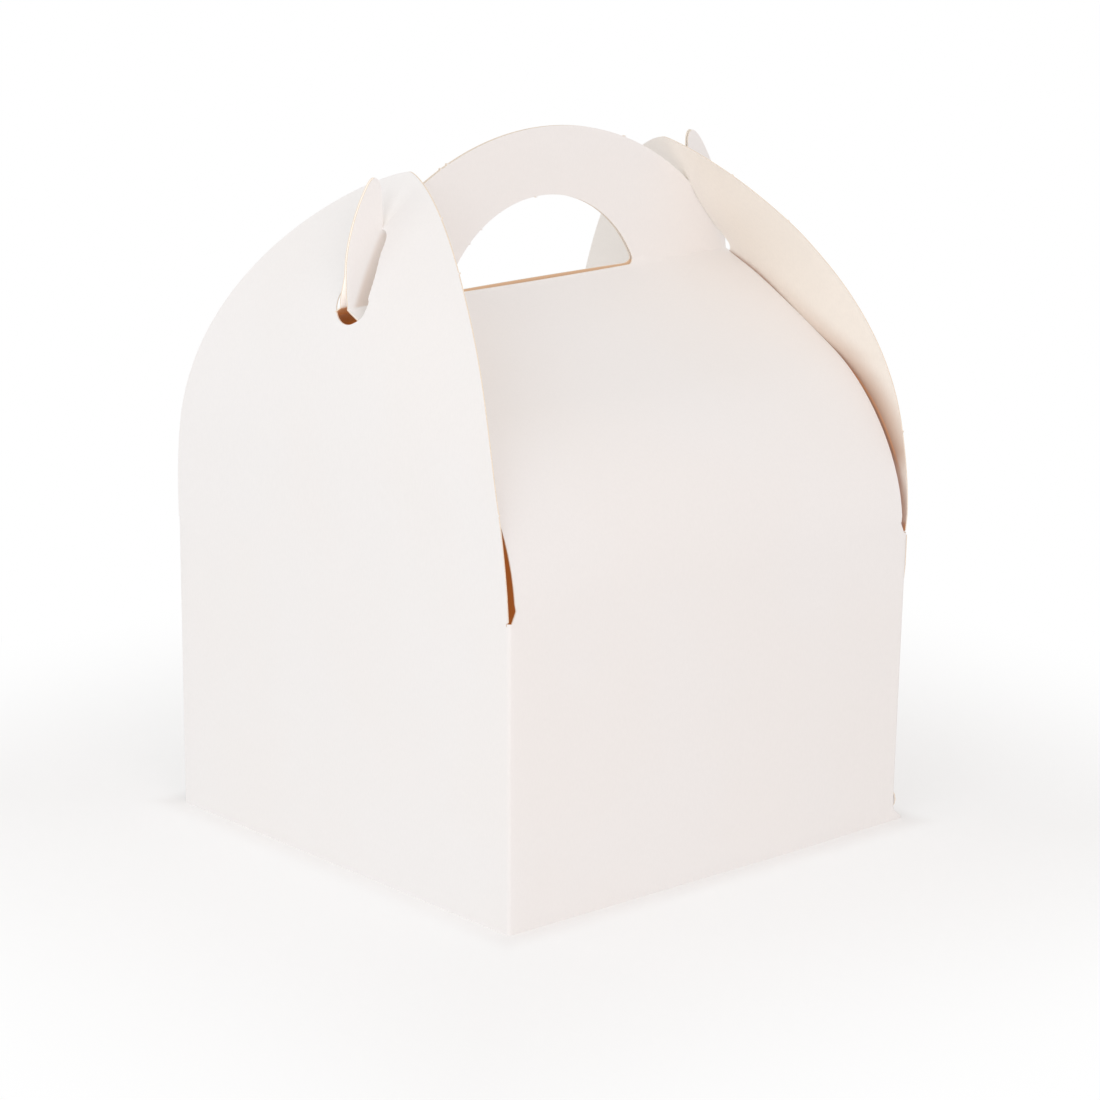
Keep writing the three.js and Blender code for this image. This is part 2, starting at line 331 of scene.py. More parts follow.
class Shader:
    """A material and the nodes that are added to it."""

    def __init__(self, name):
        self.material = bpy.data.materials.new(name)
        self.material.use_nodes = True
        self.tree = self.material.node_tree
        self.surface = self.tree.nodes["Principled BSDF"]
        self.place = self.node("ShaderNodeTexCoord", {}, {}, "Object")

    def node(self, kind, settings, values, output=0):
        made = self.tree.nodes.new(kind)
        for key, value in settings.items():
            setattr(made, key, value)
        for key, value in values.items():
            self.feed(made.inputs[key], value)
        return Socket(self, made.outputs[output])

    def feed(self, target, value):
        if isinstance(value, Socket):
            self.tree.links.new(value.output, target)
        elif hasattr(target.default_value, "__len__") and len(value) < len(target.default_value):
            target.default_value = (*value, 1)
        else:
            target.default_value = value

    def part(self, axis):
        return self.node("ShaderNodeSeparateXYZ", {}, {0: self.place}, axis)

    def noise(self, scale, detail=2.0, stretch=(1, 1, 1)):
        placed = self.node("ShaderNodeMapping", {}, {"Vector": self.place, "Scale": stretch})
        return self.node("ShaderNodeTexNoise", {}, {"Vector": placed, "Scale": scale, "Detail": detail})

    def mix(self, factor, first, second, blend="MIX"):
        made = self.tree.nodes.new("ShaderNodeMix")
        made.data_type = "RGBA"
        made.blend_type = blend
        self.feed(made.inputs["Factor"], factor)
        self.feed(made.inputs[6], first)
        self.feed(made.inputs[7], second)
        return Socket(self, made.outputs[2])

    def bump(self, height, strength, distance):
        return self.node(
            "ShaderNodeBump", {}, {"Height": height, "Strength": strength, "Distance": distance})

    def finish(self, colour, roughness, normal):
        self.feed(self.surface.inputs["Base Color"], colour)
        self.feed(self.surface.inputs["Roughness"], roughness)
        self.feed(self.surface.inputs["Normal"], normal)
        return self.material


def shaded(colour, factor):
    return tuple(channel * factor for channel in colour)


def ear_shade(shader):
    """1 on the front layer's left ear close to its side flap, which throws a warm shade there, else 0."""
    s = sizes()
    out = shader.part("X") * -1
    height = shader.part("Z")
    depth = shader.part("Y")
    rise = height - s.flap_bend
    flap_face = (s.flap_radius ** 2 - rise * rise).larger(0).root() + (s.width / 2 - s.flap_radius)
    past_flap = out - flap_face
    slot_foot, slot_top = 214.2 * MM, 242 * MM
    close = 1 - past_flap.between(-1.5 * MM, 1.8 * MM)
    low = 1 - height.between(212 * MM, slot_top)
    above_foot = height.between(slot_foot, slot_foot + 1 * MM)
    in_slot = above_foot * (1 - height.between(slot_top - 2 * MM, slot_top))
    on_front = depth.between(-0.95 * MM, -0.85 * MM) * (1 - depth.between(-0.2 * MM, 0))
    near_slot = past_flap.between(-15 * MM, -7 * MM) * out.between(55 * MM, 65 * MM)
    return close * (0.6 + low * 0.4) * in_slot * on_front * near_slot


def outside_board():
    """White coated face: faint clouds, fine fibres and a soft sheen, with painted warm shade on the left
    ear where its side flap shades it.
    """
    shader = Shader("white coated board")
    clouds = shader.noise(14, 2)
    fibres = shader.noise(1400, 3, (1, 1, 0.35))
    grain = shader.noise(3800, 1)
    white = tuple(colours().outside)
    warm = (white[0], white[1] * 0.994, white[2] * 0.988)
    base = shader.mix(clouds.between(0.35, 0.65), white, warm)
    tone = shader.mix(fibres.between(0.3, 0.7), (0.986,) * 3, (1,) * 3)
    grey = shader.mix(1.0, base, tone, "MULTIPLY")
    # Painted shade: the left ear is darkened and warmed where its side flap shades it.
    shade = shader.mix(1.0, grey, tuple(colours().ear_shade_colour), "MULTIPLY")
    colour = shader.mix(ear_shade(shader), grey, shade)
    roughness = 0.58 + fibres * 0.1
    normal = shader.bump(fibres * 0.7 + grain * 0.3, 0.12, 0.05 * MM)
    shader.surface.inputs["Specular IOR Level"].default_value = 0.35
    return shader.finish(colour, roughness, normal)


def from_panels(shader):
    """Distance from the curved front and back panels: above 0 outside them, below 0 in the box."""
    s = sizes()
    radius, turn = panel_bend()
    behind = shader.part("Y").between(0.2 * MM, 0.6 * MM)
    slack = (shader.part("X") * -1).between(60 * MM, 88 * MM) * behind * LAYER_SLACK
    y = shader.part("Y").absolute() - slack
    z = shader.part("Z")
    across = y - (s.depth / 2 - radius)
    above = z - s.wall
    bend = (across * across + above * above).root() - radius
    slope = (z - s.crease) * math.cos(s.slope) + (y - s.layer) * math.sin(s.slope)
    tangent = s.wall + radius * math.sin(turn)
    on_slope = z.between(tangent - 2 * MM, tangent + 2 * MM)
    return bend * (1 - on_slope) + slope * on_slope


def in_closed_box(shader, distance):
    """1 on the inner faces of walls and panels, where the closed box's brown shade is painted, 0 on a side
    flap and above the crease.
    """
    s = sizes()
    face = distance.between(-1.6 * MM, -1.2 * MM) * (1 - distance.between(-0.6 * MM, -0.1 * MM))
    return face.larger(1 - shader.part("Z").between(s.wall, s.wall + 0.3 * MM)) * inside_width(shader)


def inside_width(shader):
    """1 between the side walls, 0 where an open side flap lies beyond them."""
    half = sizes().width / 2
    return 1 - shader.part("X").absolute().between(half + 0.2 * MM, half + 0.6 * MM)


def by_the_panels(shader, distance):
    """1 on a side flap where it nears the panels, low down, where the light between them is brown."""
    near = distance.between(-6 * MM, -1 * MM) * (1 - distance.between(0, 13 * MM))
    low = 1 - shader.part("Z").between(165 * MM, 222 * MM)
    return near * low * inside_width(shader)


def at_hole_foot(shader):
    """1 in the crease at the foot of the hand hole, where the board's layers give off light."""
    s = sizes()
    height = shader.part("Z")
    across = 1 - shader.part("X").absolute().between(s.hole_half, s.hole_half + 2 * MM)
    up = height.between(s.crease - 4 * MM, s.crease - 1 * MM)
    return across * up * (1 - height.between(s.crease + 0.5 * MM, s.crease + 1.5 * MM))


def between_layers(shader):
    """1 on the facing sides of the two layers at the left ear, where they stand apart."""
    crease = sizes().crease
    left = (shader.part("X") * -1).between(74 * MM, 78 * MM)
    near_middle = 1 - shader.part("Y").absolute().between(5 * MM, 6 * MM)
    return left * shader.part("Z").between(crease, crease + 1 * MM) * near_middle


def inside_board():
    """Inner face: cream where light falls in, painted paler on its far half for the whiter light there,
    painted brown shade with a faint painted glow in the closed box, painted warm shade on the side flaps
    close to its panels, and painted glow in the hand hole's crease and between the layers at the left ear.
    """
    shader = Shader("cream inner face")
    tints = colours()
    fibres = shader.noise(1200, 3, (1, 1, 0.35))
    warm = tuple(tints.inside)
    cream = shader.mix(fibres.between(0.3, 0.7), shaded(warm, 0.985), shaded(warm, 1.01))
    # Painted light: the far half of the inner face is painted paler, towards the outer face's white, for
    # the whiter light that falls on it there.
    far_half = shader.part("Y").between(-20 * MM, 12 * MM)
    painted_pale_cream = shader.mix(far_half * 0.5, cream, tuple(tints.outside))
    distance = from_panels(shader)
    # Painted shade: deep marks the closed box's inner faces, which are painted brown and given a faint
    # painted glow.
    deep = in_closed_box(shader, distance)
    card = shader.mix(by_the_panels(shader, distance) * 0.75, painted_pale_cream, tuple(tints.warm_shade))
    # Painted light: the hand hole's crease is painted tan and made to glow, for light in the gap between
    # its layers.
    crease = at_hole_foot(shader)
    edge = tuple(tints.crease_glow)
    colour = shader.mix(crease, shader.mix(deep, card, tuple(tints.depth)), edge)
    glow = shader.mix(crease, shader.mix(deep, (0, 0, 0), tuple(tints.glow)), edge)
    glow = shader.mix(between_layers(shader), glow, tuple(tints.layer_glow))
    shader.feed(shader.surface.inputs["Emission Color"], glow)
    shader.surface.inputs["Emission Strength"].default_value = 1
    normal = shader.bump(fibres, 0.15, 0.05 * MM)
    shader.surface.inputs["Specular IOR Level"].default_value = 0.25
    return shader.finish(colour, 0.75 + fibres * 0.1, normal)


def cut_board():
    """Raw edge of the board: tan, with the layers of the pulp."""
    shader = Shader("cut edge of the board")
    layers = shader.noise(2500, 2)
    tan = tuple(colours().cut)
    colour = shader.mix(layers.between(0.35, 0.65), shaded(tan, 0.94), shaded(tan, 1.06))
    normal = shader.bump(layers, 0.3, 0.05 * MM)
    shader.surface.inputs["Specular IOR Level"].default_value = 0.2
    return shader.finish(colour, 0.85 + layers * 0.05, normal)


def board_materials():
    makers = {
        "white coated board": outside_board,
        "cream inner face": inside_board,
        "cut edge of the board": cut_board,
    }
    return [bpy.data.materials.get(name) or make() for name, make in makers.items()]


# Modelling by operators

def deselect_all():
    for other in bpy.context.view_layer.objects:
        other.select_set(False)


def activate(piece):
    deselect_all()
    piece.select_set(True)
    bpy.context.view_layer.objects.active = piece


def edit(piece):
    activate(piece)
    bpy.ops.object.mode_set(mode="EDIT")
    bpy.ops.mesh.select_all(action="DESELECT")


def leave_edit():
    bpy.ops.object.mode_set(mode="OBJECT")


def pick(piece, kind, test):
    """Selects the vertices, edges or faces of a piece in edit mode that pass a test."""
    bpy.ops.mesh.select_mode(type={"verts": "VERT", "edges": "EDGE", "faces": "FACE"}[kind])
    bpy.ops.mesh.select_all(action="DESELECT")
    shape = bmesh.from_edit_mesh(piece.data)
    for item in getattr(shape, kind):
        if test(item):
            item.select_set(True)
    shape.select_flush_mode()
    bmesh.update_edit_mesh(piece.data)


def slice_all(positions, axis):
    """Cuts the whole mesh in edit mode by a plane at each position along an axis."""
    normal = Vector((0, 0, 0))
    normal[axis] = 1
    for position in positions:
        bpy.ops.mesh.select_all(action="SELECT")
        bpy.ops.mesh.bisect(plane_co=normal * position, plane_no=normal)


def extrude_steps(vector, steps):
    step = Vector(vector) / steps
    for _ in range(steps):
        bpy.ops.mesh.extrude_region_move(TRANSFORM_OT_translate={"value": step})


def spin_selected(centre, axis, angle, steps):
    bpy.ops.mesh.spin(steps=steps, angle=angle, center=centre, axis=axis, dupli=False)


def smooth_step(value, low, high):
    share = min(1, max(0, (value - low) / (high - low)))
    return share * share * (3 - 2 * share)


def spread(low, high, step):
    """Evenly spaced places between two ends, without the ends."""
    count = max(2, round((high - low) / step))
    return [low + (high - low) * i / count for i in range(1, count)]


def reshape(piece, move):
    """Moves each vertex of a piece by a function of its place."""
    for vertex in piece.data.vertices:
        vertex.co = move(vertex.co.copy())
    piece.data.update()


def apply_modifier(piece, kind, **settings):
    activate(piece)
    modifier = piece.modifiers.new(kind.lower(), kind)
    for key, value in settings.items():
        setattr(modifier, key, value)
    bpy.ops.object.modifier_apply(modifier=modifier.name)


def give_board(piece):
    for material in board_materials():
        piece.data.materials.append(material)


def thicken(piece):
    apply_modifier(
        piece, "SOLIDIFY", thickness=sizes().board, offset=-1, use_even_offset=True,
        material_offset=1, material_offset_rim=CUT_EDGE)


def filled_outline(name, outline, reach):
    """A mesh from a closed outline in its own plane, reaching out of it to both sides."""
    curve = bpy.data.curves.new(name, "CURVE")
    curve.dimensions = "2D"
    curve.fill_mode = "BOTH"
    curve.extrude = reach
    line = curve.splines.new("POLY")
    line.points.add(len(outline) - 1)
    for target, (u, v) in zip(line.points, outline):
        target.co = (u, v, 0, 1)
    line.use_cyclic_u = True
    shape = bpy.data.objects.new(name, curve)
    bpy.context.collection.objects.link(shape)
    activate(shape)
    bpy.ops.object.convert(target="MESH")
    shape = bpy.context.object
    shape.data.name = name
    shape.data.materials.clear()
    return shape


def cutter(outline, axis, reach):
    """A prism with an outline in the plane across an axis, for trimming board."""
    tool = filled_outline("cutter", outline, reach)
    columns = {"y": ((1, 0, 0), (0, 0, 1), (0, -1, 0)), "x": ((0, 1, 0), (0, 0, 1), (1, 0, 0))}[axis]
    tool.data.transform(Matrix(columns).transposed().to_4x4())
    bpy.ops.object.mode_set(mode="EDIT")
    bpy.ops.mesh.select_all(action="SELECT")
    bpy.ops.mesh.remove_doubles(threshold=EPSILON)
    bpy.ops.mesh.normals_make_consistent(inside=False)
    leave_edit()
    tool.data.materials.append(board_materials()[CUT_EDGE])
    return tool


def cut_by(piece, tool, operation):
    apply_modifier(
        piece, "BOOLEAN", operation=operation, object=tool, solver="EXACT", material_mode="TRANSFER")
    bpy.data.objects.remove(tool)


def finish_card(piece):
    """Merges doubles, smooths the bends and keeps the cut edges sharp."""
    activate(piece)
    bpy.ops.object.mode_set(mode="EDIT")
    bpy.ops.mesh.select_all(action="SELECT")
    bpy.ops.mesh.remove_doubles(threshold=EPSILON / 5)
    bpy.ops.mesh.normals_make_consistent(inside=False)
    leave_edit()
    bpy.ops.object.shade_smooth_by_angle(angle=math.radians(35))


# Outlines

def arc(centre, radius, start, end, steps):
    return [
        (centre[0] + radius * math.cos(start + (end - start) * i / steps),
         centre[1] + radius * math.sin(start + (end - start) * i / steps))
        for i in range(steps + 1)
    ]


def curve_through(points, steps):
    """A smooth line through points, by a Catmull-Rom curve."""
    ends = [points[0], *points, points[-1]]
    line = []
    for i in range(1, len(ends) - 2):
        a, b, c, d = (Vector(p) for p in ends[i - 1:i + 3])
        for step in range(steps):
            t = step / steps
            line.append(tuple(
                0.5 * (2 * b + (c - a) * t + (2 * a - 5 * b + 4 * c - d) * t ** 2
                       + (3 * b - a - 3 * c + d) * t ** 3)))
    return [*line, tuple(points[-1])]


def in_mm(points):
    return [(u * MM, v * MM) for u, v in points]


def mirrored(points):
    return [(-u, v) for u, v in reversed(points)]


def handle_arc_height(x):
    s = sizes()
    return s.handle_top - s.handle_radius + math.sqrt(s.handle_radius ** 2 - x ** 2)


def tabbed(line, places, reach):
    """The line with a small tab of board at each place, left from where the blank hung in its sheet."""
    result = [line[0]]
    for start, end in zip(line, line[1:]):
        a, b = Vector(start), Vector(end)
        length = (b - a).length
        along = (b - a).normalized()
        out = Vector((-along.y, along.x))
        for place in in_mm(places):
            offset = Vector(place) - a
            run = offset.dot(along)
            if 0 <= run < length and abs(offset.dot(out)) < 2 * MM:
                foot = a + along * min(max(run, 1.2 * TAB_WIDTH), length - 1.2 * TAB_WIDTH)
                result += [tuple(foot + along * TAB_WIDTH * share + out * reach * rise)
                           for share, rise in ((-1, 0), (-0.5, 1), (0.5, 1), (1, 0))]
        result.append(end)
    return result


def panel_side(foot_x, middle_x, crease_x):
    """Free edge of a panel, from the corner notch up to the crease, in (x, z)."""
    s = sizes()
    return [
        (s.width / 2 - s.corner, s.wall + 0.2 * MM),
        (foot_x, s.wall + 4.3 * MM),
        *curve_through([(foot_x + 0.4 * MM, s.wall + 7 * MM), (middle_x, 152 * MM), (middle_x, 180 * MM),
                        (crease_x + 0.6 * MM, 200 * MM), (crease_x, s.crease - 0.5 * MM)], 6),
    ]


def ear_side(ear):
    """Ear and hook from the crease up to the notch at the handle's arc, in (x, z)."""
    return [*curve_through(in_mm(ear), 6), (NOTCH_X, handle_arc_height(NOTCH_X) - 0.2 * MM)]


def handle_arc():
    s = sizes()
    start = math.acos((NOTCH_X - 0.4 * MM) / s.handle_radius)
    line = arc((0, s.handle_top - s.handle_radius), s.handle_radius, start, math.pi - start, 72)
    return tabbed(line, HANDLE_TABS, -TAB_REACH)


def trimming_outline():
    """What is cut away round the front and back panels, as one frame open at its foot."""
    s = sizes()
    out = s.width / 2 + 10 * MM
    top = s.handle_top + 20 * MM
    foot = s.wall + 0.2 * MM
    right = [*panel_side(96.6 * MM, 97.4 * MM, 96.6 * MM), *ear_side(RIGHT_EAR)]
    left = [*panel_side(96.6 * MM, 97.0 * MM, 93.6 * MM), *ear_side(LEFT_EAR)]
    return [(-out, foot), (-out, top), (out, top), (out, foot), *right, *handle_arc(), *mirrored(left)]


def hand_hole_outline():
    s = sizes()
    foot = s.crease - 0.15 * MM
    corner = 2.5 * MM
    rise = s.crease + s.hole_rise
    half = s.hole_half
    side = foot + corner
    radius = (half ** 2 + (rise - side) ** 2) / (2 * (rise - side))
    start = math.asin(min(1, (side - rise + radius) / radius))
    return tabbed([
        *arc((half - corner, foot + corner), corner, -math.pi / 2, 0, 6),
        *arc((0, rise - radius), radius, start, math.pi - start, 64)[1:-1],
        *arc((corner - half, foot + corner), corner, math.pi, 1.5 * math.pi, 6),
    ], HOLE_TABS, TAB_REACH)


def flap_outline(setback):
    """Outline of a side flap in (y, z): straight at the foot, full shoulders and a round nose.

    setback is how far the front edge falls back above its foot.
    """
    s = sizes()
    edge = s.depth / 2 - 0.4 * MM
    root = s.depth / 2 - s.corner
    foot = s.wall + 6 * MM
    fullness, nose = 2.25, 1.35
    steps = 60
    half = [(root, s.wall - 1 * MM), (root, s.wall), (edge, s.wall + 0.6 * MM)]
    for i in range(steps):
        rise = math.sin(i / steps * math.pi / 2)
        half.append((edge * (1 - rise ** fullness) ** (1 / nose), foot + (s.flap_top - foot) * rise))
    front = []
    for y, z in mirrored(half):
        back = smooth_step(z, 105 * MM, 150 * MM) * (1 - smooth_step(z, 160 * MM, 215 * MM))
        front.append((y + setback * back, z))
    return tabbed([*half, (0, s.flap_top), *front], FLAP_TABS, -TAB_REACH)


def slot_outline(points):
    """Lock slot in (y, z): a round foot and a small round top, with a slightly ragged cut on one side."""
    wave_height, wave_length = 0.12 * MM, 2.4
    line = curve_through(in_mm([*points, points[0]]), 5)[:-1]
    ragged = []
    for i, (y, z) in enumerate(line):
        on_ragged_side = y < -5 * MM and z > 216 * MM
        wave = wave_height * math.sin(i * wave_length) if on_ragged_side else 0
        ragged.append((y + wave, z))
    return ragged


# The pieces

def panel_bend():
    """Radius of the panels' bend, and its turn, from the wall's top and the crease."""
    s = sizes()
    turn = math.pi / 2 - s.slope
    run = s.depth / 2 - s.layer
    rise = s.crease - s.wall - run * math.tan(s.slope)
    return rise / (math.sin(turn) - (1 - math.cos(turn)) * math.tan(s.slope)), turn


def fold_panel(sheet, side):
    """Draws the front (-1) or back (1) panel out of its wall: bend, slope and handle layer."""
    s = sizes()
    half = s.width / 2 - s.corner + EPSILON
    wall_y = side * s.depth / 2

    def on_wall_top(edge):
        return all(
            abs(v.co.z - s.wall) < EPSILON and abs(v.co.y - wall_y) < EPSILON and abs(v.co.x) < half
            for v in edge.verts)

    radius, turn = panel_bend()
    tangent = s.crease_radius * math.tan(turn / 2)
    bend_y = s.depth / 2 - radius * (1 - math.cos(turn))
    bend_z = s.wall + radius * math.sin(turn)
    slope_y = s.layer + tangent * math.cos(s.slope)
    slope_z = s.crease - tangent * math.sin(s.slope)
    spare = 4 * MM
    pick(sheet, "edges", on_wall_top)
    spin_selected((0, wall_y - side * radius, s.wall), (-side, 0, 0), turn, 31)
    extrude_steps((0, -side * (bend_y - slope_y), slope_z - bend_z), 14)
    spin_selected(
        (0, side * (s.layer + s.crease_radius), s.crease + tangent), (side, 0, 0), turn, 10)
    extrude_steps((0, 0, s.handle_top + spare - s.crease - tangent), 18)


def layer_slack(place):
    """How far the back layer stands off the front one at the left ear, where the slot leaves it room."""
    crease = sizes().crease
    below = smooth_step(place.z, crease - 6 * MM, crease + 0.5 * MM)
    above = 1 - smooth_step(place.z, crease, crease + 14 * MM)
    return LAYER_SLACK * smooth_step(-place.x, 60 * MM, 88 * MM) * below * above


def corner_flare(place):
    """How far the foot of the right front corner is bent out, where the board was knocked."""
    if place.z > KNOCK_REACH:
        return 0
    near_x = min(1, max(0, (place.x - 95 * MM) / (5 * MM)))
    near_y = min(1, max(0, (-place.y - 96.5 * MM) / (3.5 * MM)))
    rise = max(0, place.z - 0.9 * MM) / KNOCK_REACH
    return KNOCK_OUT * near_x * near_y * (1 - rise) ** 1.7


def corner_drift(place):
    """How far the right front corner stands out at its top, and in at its foot."""
    wall = sizes().wall
    rise = min(1, max(0, place.z) / wall)
    fade = 1 - smooth_step(place.z, 124 * MM, 162 * MM)
    near = smooth_step(place.x, 40 * MM, 98 * MM) * smooth_step(-place.y, 40 * MM, 98 * MM)
    lip = CORNER_LIP * smooth_step(place.z, wall, wall + 7 * MM)
    out = ((CORNER_IN_AT_FOOT + CORNER_OUT_AT_TOP) * rise - CORNER_IN_AT_FOOT + lip) * fade * near
    return Vector((out, -out, 0)) * math.sqrt(0.5)


def ease_wall(place):
    """Lets the front and back walls swell a little, and bends out the knocked corner."""
    s = sizes()
    if abs(place.y) > s.depth / 2 - EPSILON:
        up = math.sin(math.pi * max(0, place.z) / s.wall) ** 2
        along = math.cos(math.pi * place.x / s.width)
        place.y += math.copysign(WALL_SWELL, place.y) * up * along
    place.x += corner_flare(place)
    return place


def ease_panel(place):
    """Parts the two layers at the hand hole and the ears, and curls the free edges of the panels."""
    s = sizes()
    side = -1 if place.y < 0 else 1
    out = abs(place.x)
    in_hole = max(0, 1 - (out / (50 * MM)) ** 2)
    near_crease = math.exp(-((place.z - s.crease) / (13 * MM)) ** 2)
    place.y += side * LAYER_BULGE * in_hole * near_crease
    if abs(place.z - s.crease) < s.crease_radius:
        sharp = s.layer + max(0, s.crease - place.z) / math.tan(s.slope)
        place.y += smooth_step(out, 52 * MM, 78 * MM) * (side * sharp - place.y)
    if place.z < s.crease:
        curl = max(0, (out - 66 * MM) / (31 * MM)) ** 2
        up = smooth_step(place.z, 160 * MM, 196 * MM) * (1 - near_crease ** 4)
        place.z += EDGE_CURL * curl * up
    if side > 0:
        place.y += layer_slack(place)
    if side > 0 and place.x > 74 * MM:
        place.y += HOOK_SPREAD * smooth_step(place.z, 246 * MM, 262 * MM)
    return place


def ease_sheet(place):
    """Slight bows that folding by hand leaves: slack layers, full walls and a knocked corner."""
    drift = corner_drift(place)
    ease = ease_wall if place.z < sizes().wall + EPSILON else ease_panel
    return ease(place) + drift


def make_sheet():
    s = sizes()
    deselect_all()
    bpy.ops.mesh.primitive_cube_add(size=1, location=(0, 0, s.wall / 2), scale=(s.width, s.depth, s.wall))
    sheet = bpy.context.object
    sheet.name = "carton_sheet"
    sheet.data.name = "carton_sheet"
    bpy.ops.object.transform_apply(location=True, rotation=True, scale=True)
    edit(sheet)
    pick(sheet, "faces", lambda face: abs(face.normal.z) > 0.5)
    bpy.ops.mesh.delete(type="ONLY_FACE")
    pick(sheet, "edges", lambda edge: abs(edge.verts[0].co.z - edge.verts[1].co.z) > EPSILON)
    bpy.ops.mesh.bevel(
        offset=s.corner, offset_type="OFFSET", segments=5, affect="EDGES", clamp_overlap=False)
    flat = s.width / 2 - s.corner
    slice_all(spread(-flat, flat, 5 * MM), 0)
    slice_all(spread(-flat, flat, 5 * MM), 1)
    slice_all(spread(0, s.wall, 10 * MM), 2)
    slice_all(spread(0, 6 * MM, 0.8 * MM), 2)
    slice_all([flat - 1.2 * MM, flat - 2.4 * MM], 0)
    slice_all([1.2 * MM - flat, 2.4 * MM - flat], 1)
    fold_panel(sheet, -1)
    fold_panel(sheet, 1)
    bpy.ops.mesh.select_all(action="SELECT")
    bpy.ops.mesh.remove_doubles(threshold=EPSILON / 2)
    bpy.ops.mesh.normals_make_consistent(inside=False)
    leave_edit()
    reshape(sheet, ease_sheet)
    give_board(sheet)
    thicken(sheet)
    reshape(sheet, lambda place: Vector((place.x, place.y, max(0, place.z))))
    cut_by(sheet, cutter(trimming_outline(), "y", s.depth), "DIFFERENCE")
    cut_by(sheet, cutter(hand_hole_outline(), "y", s.depth), "DIFFERENCE")
    foot, head = s.wall - 1 * MM, s.wall + 2 * MM
    room_for_flaps = [(flat, foot), (flat, head), (-flat, head), (-flat, foot)]
    cut_by(sheet, cutter(room_for_flaps, "x", s.width), "DIFFERENCE")
    finish_card(sheet)
    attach(sheet, BODY_CARTON)
    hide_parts("carton_body")


def seam_lift(z):
    """How far the glued end of the sheet stands off the corner: loose at its top, and near its foot."""
    top = min(1, max(0, (z - 90 * MM) / (14 * MM)))
    foot = math.exp(-((z - 8.4 * MM) / (2.7 * MM)) ** 4)
    return SEAM_GAP + SEAM_GAP_AT_TOP * top + SEAM_GAP_AT_FOOT * foot


def make_seam():
    """The end of the sheet, glued over its flap at the right front corner, with its raw edge."""
    s = sizes()
    near, far = s.corner - s.depth / 2 + 0.2 * MM, 9 * MM - s.depth / 2
    low, high = 0.4 * MM, s.wall - 1.2 * MM
    clearance = 0.02 * MM
    deselect_all()
    bpy.ops.mesh.primitive_cube_add(
        size=1, location=(s.width / 2 - s.board / 2, (near + far) / 2, (low + high) / 2),
        scale=(s.board, far - near, high - low))
    seam = bpy.context.object
    seam.name = "glued_edge"
    seam.data.name = seam.name
    bpy.ops.object.transform_apply(location=True, rotation=True, scale=True)
    edit(seam)
    slice_all(spread(low, high, 2 * MM), 2)
    slice_all([near + 1 * MM, near + 3 * MM], 1)
    leave_edit()

    def lift(place):
        share = max(0, (far - place.y) / (far - near))
        drift = corner_drift(place)
        stand = seam_lift(place.z)
        place.x += clearance + (stand - clearance) * share ** 1.5
        place.y -= 1.6 * (stand - SEAM_GAP) * share ** 4
        return place + drift

    reshape(seam, lift)
    give_board(seam)
    for face in seam.data.polygons:
        face.material_index = CUT_EDGE if face.normal.y < -0.5 else OUTER_FACE
    finish_card(seam)
    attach(seam, BODY_CARTON)


def slab(name, outline, low, high):
    """A flat flap of board from an outline in (x, y)."""
    piece = filled_outline(name, outline, 0)
    piece.data.transform(Matrix.Translation((0, 0, high)))
    edit(piece)
    bpy.ops.mesh.select_all(action="SELECT")
    bpy.ops.mesh.normals_make_consistent(inside=False)
    leave_edit()
    if piece.data.polygons[0].normal.z < 0:
        piece.data.flip_normals()
    give_board(piece)
    apply_modifier(
        piece, "SOLIDIFY", thickness=high - low, offset=-1, material_offset=0,
        material_offset_rim=CUT_EDGE)
    return piece


def both_halves(points):
    return in_mm([*points, *mirrored(points)])


def bottom_flaps():
    """The four flaps of the lock bottom: front under the sides, sides under the back."""
    s = sizes()
    board = s.board
    root = (s.width / 2 - board / 2) / MM
    wide = s.width / 2 / MM - 1
    back = [(wide, root), (wide, 0), (wide - 8, -8), (53, -8), (53, 24)]
    side = [(root, -98.5), (root, 98.5), (42, 64.5), (42, -64.5)]
    front = [(wide, -root), (wide, -62), (52, -8), (52, 12.5)]
    flaps = [
        slab("bottom_flap_back", both_halves(back), 2 * board, 3 * board),
        slab("bottom_flap_right", in_mm(side), board, 2 * board),
        slab("bottom_flap_left", in_mm(mirrored(side)), board, 2 * board),
        slab("bottom_flap_front", both_halves(front), 0, board),
    ]
    for flap in flaps:
        reshape(flap, lambda place: place + corner_drift(place))
        finish_card(flap)
        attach(flap, BODY_CARTON)


def flap_stand(y, z, push):
    """How far a side flap's outer face stands from the middle of the box.

    push is the bulge where the corners of the front and back panels press it out.
    """
    s = sizes()
    half = s.width / 2
    if z <= s.flap_bend:
        base = half + s.flap_lean * max(0, z - s.wall) / (s.flap_bend - s.wall)
    else:
        rise = min(z - s.flap_bend, 0.98 * s.flap_radius)
        base = half + s.flap_lean - s.flap_radius + math.sqrt(s.flap_radius ** 2 - rise ** 2)
    reach, peak = 62 * MM, 213 * MM
    across = max(0, math.cos(min(1, abs(y) / reach) * math.pi / 2)) ** 1.3
    along = smooth_step(z, 170 * MM, peak) * (1 - smooth_step(z, peak, 240 * MM))
    return base + push * across * along


def flap_dimple(y, z):
    """Creases that run up from the top of the slot, where the hook pulls the card in."""
    slot_top, length = 242.5 * MM, 15 * MM
    rise = (z - slot_top) / length
    if not 0 < rise < 1:
        return 0
    fade = (1 - rise) * min(1, rise * 6)
    first = math.exp(-((y + 2 * MM) / (0.8 * MM)) ** 2) * smooth_step(rise, 0.45, 0.75)
    second = math.exp(-((y + 0.8 * MM + rise * 8.5 * MM) / (0.9 * MM)) ** 2)
    return -DIMPLE * fade * (1.6 * first + second)


